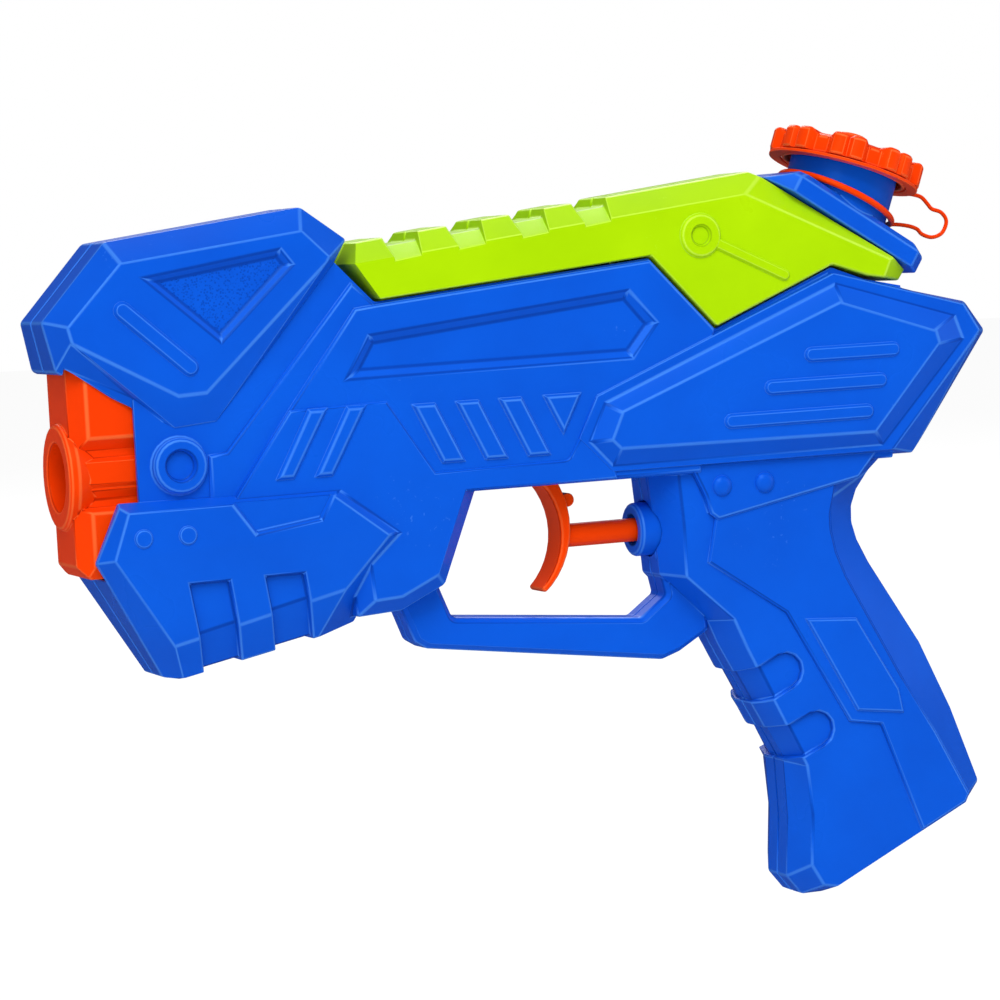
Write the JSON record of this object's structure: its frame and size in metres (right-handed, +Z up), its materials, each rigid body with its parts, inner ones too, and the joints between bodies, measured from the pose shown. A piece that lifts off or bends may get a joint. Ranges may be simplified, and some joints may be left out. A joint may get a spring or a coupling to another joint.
{
  "type": "water squirter",
  "caption": "Hand-held pump water squirter: layered two-half housing, sliding trigger, water tank on top with a tethered screw cap, muzzle block, and raked grip with finger slots.",
  "frame": {"origin": "on the pump's axis inside the top of the grip, where the hand holds it", "axes": "-X towards the muzzle, +Z up, Y = 0 is the plane where the two housing halves meet"},
  "size_m": [0.2145, 0.0354, 0.1694],
  "materials": {
    "blue_moulded_plastic": "semi-gloss moulded",
    "lime_moulded_plastic": "semi-gloss moulded",
    "orange_moulded_plastic": "semi-gloss moulded",
    "natural_moulded_plastic": "satin, uncoloured",
    "soft_clear_tube": "soft, milky clear",
    "black_rubber": "matt",
    "bright_steel": "bright drawn"
  },
  "bodies": {
    "housing": {"left_shell": "blue_moulded_plastic", "right_shell": "blue_moulded_plastic", "tank_left": "lime_moulded_plastic", "tank_right": "lime_moulded_plastic", "filler_neck": "blue_moulded_plastic", "cap_tether": "orange_moulded_plastic", "nozzle": "orange_moulded_plastic", "nozzle_jet": "natural_moulded_plastic", "pump_gland": "blue_moulded_plastic", "pump_cylinder": "natural_moulded_plastic", "inlet_fitting": "natural_moulded_plastic", "outlet_fitting": "natural_moulded_plastic", "tank_spigot": "natural_moulded_plastic", "suction_tube": "soft_clear_tube", "delivery_tube": "soft_clear_tube", "return_spring": "bright_steel", "inlet_spring": "bright_steel", "outlet_spring": "bright_steel", "case_screw_1": "bright_steel", "case_screw_2": "bright_steel", "case_screw_3": "bright_steel", "case_screw_4": "bright_steel", "case_screw_5": "bright_steel", "case_screw_6": "bright_steel"},
    "trigger": {"trigger": "orange_moulded_plastic", "piston": "natural_moulded_plastic", "piston_seal": "black_rubber"},
    "cap_carrier": {"cap_seal": "black_rubber"},
    "cap": {"filler_cap": "orange_moulded_plastic"},
    "inlet_ball": {"inlet_ball": "bright_steel"},
    "outlet_ball": {"outlet_ball": "bright_steel"}
  },
  "joints": [
    {"name": "trigger_pull", "type": "slide", "parent": "housing", "child": "trigger", "axis": [1, 0, 0], "range_m": [0, 0.01], "stiffness_N_per_m": 300, "springref_m": -0.01, "deforming": ["return_spring"]},
    {"name": "cap_lift", "type": "slide", "parent": "housing", "child": "cap_carrier", "axis": [0.342, 0, 0.9397], "range_m": [0, 0.0045], "deforming": ["cap_tether"]},
    {"name": "cap_turn", "type": "hinge", "parent": "cap_carrier", "child": "cap", "pos_m": [0.0282, 0, 0.0754], "axis": [0.342, 0, 0.9397], "range_deg": [0, 540]},
    {"name": "inlet_lift", "type": "slide", "parent": "housing", "child": "inlet_ball", "axis": [0, 0, -1], "range_m": [0, 0.0012], "stiffness_N_per_m": 20, "springref_m": -0.002, "deforming": ["inlet_spring"]},
    {"name": "outlet_lift", "type": "slide", "parent": "housing", "child": "outlet_ball", "axis": [0, 0, 1], "range_m": [0, 0.0012], "stiffness_N_per_m": 20, "springref_m": -0.002, "deforming": ["outlet_spring"]}
  ],
  "couplings": [
    {"joint": "cap_lift", "follows": "cap_turn", "m_per_rad": 0.00047746}
  ]
}
